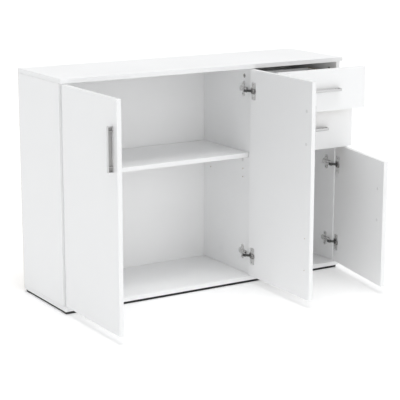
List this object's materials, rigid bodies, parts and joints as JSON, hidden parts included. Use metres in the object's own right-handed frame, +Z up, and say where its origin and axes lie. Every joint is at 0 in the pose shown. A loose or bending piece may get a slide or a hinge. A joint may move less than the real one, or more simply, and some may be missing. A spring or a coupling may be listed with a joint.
{
  "type": "sideboard",
  "caption": "Low white sideboard with hinged doors, a column of drawers over a short door, an adjustable shelf and cup pull handles, standing on low feet.",
  "frame": {"origin": "on the floor, centred under the box that the object fills with its doors open and its drawers partly out, as it stands at rest", "axes": "+X to the right along the top panel, seen from the front; +Y from the doors to the back panel; +Z up"},
  "size_m": [1.1914, 0.7298, 0.82],
  "materials": {
    "white_board": "white melamine-faced chipboard, satin, with matching edge bands",
    "drawer_board": "white foil-wrapped chipboard, matt",
    "white_hardboard": "white lacquered hardboard, matt",
    "hinge_steel": "nickel plated, bright",
    "white_plastic": "white moulded plastic",
    "rail_steel": "zinc plated",
    "brushed_nickel": "brushed nickel",
    "black_plastic": "black moulded plastic"
  },
  "bodies": {
    "carcass": {"top_panel": "white_board", "bottom_panel": "white_board", "left_side_panel": "white_board", "right_side_panel": "white_board", "centre_divider": "white_board", "back_panel": "white_hardboard", "fixed_shelf": "white_board", "adjustable_shelf": "white_board", "shelf_pin_left_front": "white_plastic", "shelf_pin_left_back": "white_plastic", "shelf_pin_right_front": "white_plastic", "shelf_pin_right_back": "white_plastic", "foot_left_front": "black_plastic", "foot_left_back": "black_plastic", "foot_right_front": "black_plastic", "foot_right_back": "black_plastic", "upper_rail_left": "rail_steel", "upper_rail_right": "rail_steel", "lower_rail_left": "rail_steel", "lower_rail_right": "rail_steel", "hinge_left_upper_arm": "hinge_steel", "hinge_left_lower_arm": "hinge_steel", "hinge_centre_upper_arm": "hinge_steel", "hinge_centre_lower_arm": "hinge_steel", "hinge_right_upper_arm": "hinge_steel", "hinge_right_lower_arm": "hinge_steel"},
    "door_left": {"door_left_panel": "white_board", "door_left_handle": "brushed_nickel", "hinge_left_upper_cup": "hinge_steel", "hinge_left_lower_cup": "hinge_steel"},
    "door_centre": {"door_centre_panel": "white_board", "door_centre_handle": "brushed_nickel", "hinge_centre_upper_cup": "hinge_steel", "hinge_centre_lower_cup": "hinge_steel"},
    "door_right": {"door_right_panel": "white_board", "door_right_handle": "brushed_nickel", "hinge_right_upper_cup": "hinge_steel", "hinge_right_lower_cup": "hinge_steel"},
    "links_left": {"hinge_left_upper_link": "hinge_steel", "hinge_left_lower_link": "hinge_steel"},
    "links_centre": {"hinge_centre_upper_link": "hinge_steel", "hinge_centre_lower_link": "hinge_steel"},
    "links_right": {"hinge_right_upper_link": "hinge_steel", "hinge_right_lower_link": "hinge_steel"},
    "upper_drawer": {"upper_drawer_front": "white_board", "upper_drawer_handle": "brushed_nickel", "upper_drawer_left_side": "drawer_board", "upper_drawer_right_side": "drawer_board", "upper_drawer_back": "drawer_board", "upper_drawer_bottom": "white_hardboard", "upper_drawer_left_rail": "rail_steel", "upper_drawer_right_rail": "rail_steel"},
    "lower_drawer": {"lower_drawer_front": "white_board", "lower_drawer_handle": "brushed_nickel", "lower_drawer_left_side": "drawer_board", "lower_drawer_right_side": "drawer_board", "lower_drawer_back": "drawer_board", "lower_drawer_bottom": "white_hardboard", "lower_drawer_left_rail": "rail_steel", "lower_drawer_right_rail": "rail_steel"}
  },
  "joints": [
    {"name": "door_left_swing", "type": "hinge", "parent": "carcass", "child": "door_left", "pos_m": [-0.57485, 0.01988, 0.4], "axis": [0, 0, -1], "range_deg": [-90, 5]},
    {"name": "door_centre_swing", "type": "hinge", "parent": "carcass", "child": "door_centre", "pos_m": [0.19615, 0.01988, 0.4], "axis": [0, 0, 1], "range_deg": [-89, 1]},
    {"name": "door_right_swing", "type": "hinge", "parent": "carcass", "child": "door_right", "pos_m": [0.59015, 0.01988, 0.4], "axis": [0, 0, 1], "range_deg": [-79, 16]},
    {"name": "links_left_turn", "type": "hinge", "parent": "carcass", "child": "links_left", "pos_m": [-0.54645, 0.02967, 0.4], "axis": [0, 0, 1], "range_deg": [-40, 2.3]},
    {"name": "links_centre_turn", "type": "hinge", "parent": "carcass", "child": "links_centre", "pos_m": [0.16775, 0.02967, 0.4], "axis": [0, 0, -1], "range_deg": [-39.6, 0.5]},
    {"name": "links_right_turn", "type": "hinge", "parent": "carcass", "child": "links_right", "pos_m": [0.56175, 0.02967, 0.4], "axis": [0, 0, -1], "range_deg": [-35.1, 7.2]},
    {"name": "upper_drawer_slide", "type": "slide", "parent": "carcass", "child": "upper_drawer", "axis": [0, -1, 0], "range_m": [-0.141, 0.089]},
    {"name": "lower_drawer_slide", "type": "slide", "parent": "carcass", "child": "lower_drawer", "axis": [0, -1, 0], "range_m": [-0.068, 0.162]}
  ],
  "couplings": [
    {"joint": "links_left_turn", "follows": "door_left_swing", "ratio": 0.444},
    {"joint": "links_centre_turn", "follows": "door_centre_swing", "ratio": 0.444},
    {"joint": "links_right_turn", "follows": "door_right_swing", "ratio": 0.444}
  ]
}
